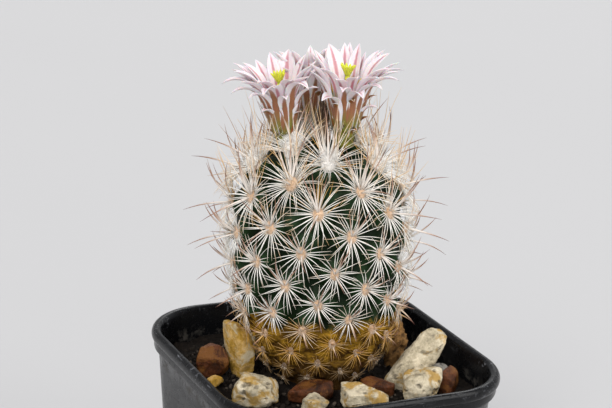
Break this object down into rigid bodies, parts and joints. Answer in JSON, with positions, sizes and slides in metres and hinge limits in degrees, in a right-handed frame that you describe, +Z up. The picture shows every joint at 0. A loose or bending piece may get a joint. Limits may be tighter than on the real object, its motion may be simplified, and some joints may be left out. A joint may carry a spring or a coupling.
{
  "type": "potted echinomastus mapimiensis",
  "caption": "Small spiny globular cactus with pale pink flowers at its crown, standing in a square black nursery pot topped with loose stones.",
  "frame": {"origin": "centre of the pot's underside, on the surface that the pot stands on", "axes": "+Z up along the pot's height, the square pot's sides along X and Y; the picture looks at the corner between -X and -Y from 26 degrees left of +Y"},
  "size_m": [0.083, 0.083, 0.162],
  "materials": {
    "pot_plastic": "black injection-moulded plastic, glossy with fine scuffs",
    "soil": "dark gritty potting mix, almost black, matte",
    "stem_skin": "blue-green waxy skin, corky ochre at the foot, white and amber spines",
    "limestone": "pale cream limestone with ochre stains and dark pits",
    "ochre_stone": "ochre yellow stone, matte and pitted",
    "red_stone": "red-brown shale, matte",
    "brown_chip": "crumbly brown bark-like chips",
    "flower_tube": "olive green scaly flower tube",
    "outer_tepal": "pale margins with a red-brown midrib, satin",
    "inner_tepal": "pale pink-white with a pink midstripe, satin and thin",
    "stamen": "golden anthers on pale filaments",
    "pistil": "bright yellow-green style and stigma lobes",
    "dried_flower": "dry dark brown flower remains"
  },
  "bodies": {
    "root": {"pot": "pot_plastic", "soil": "soil", "stem": "stem_skin", "dried_flower": "dried_flower", "flower_left_tube": "flower_tube", "flower_left_outer_tepals": "outer_tepal", "flower_left_inner_tepals": "inner_tepal", "flower_left_stamens": "stamen", "flower_left_pistil": "pistil", "flower_right_tube": "flower_tube", "flower_right_outer_tepals": "outer_tepal", "flower_right_inner_tepals": "inner_tepal", "flower_right_stamens": "stamen", "flower_right_pistil": "pistil", "flower_back_tube": "flower_tube", "flower_back_outer_tepals": "outer_tepal", "flower_back_inner_tepals": "inner_tepal", "flower_back_stamens": "stamen", "flower_back_pistil": "pistil", "stone_ochre_tall": "ochre_stone", "shard_red_left": "red_stone", "stone_white_left": "limestone", "pebble_left": "ochre_stone", "shard_red_front": "red_stone", "stone_white_front": "limestone", "stone_white_middle": "limestone", "shard_red_right": "red_stone", "stone_white_leaning": "limestone", "stone_cream_right": "limestone", "shard_brown_right": "red_stone", "pebble_grey_right": "limestone", "chip_brown_tall": "brown_chip", "chip_brown_small": "brown_chip", "stone_white_back": "limestone", "shard_red_back": "red_stone", "stone_ochre_back": "ochre_stone", "pebble_back": "limestone"}
  },
  "joints": []
}
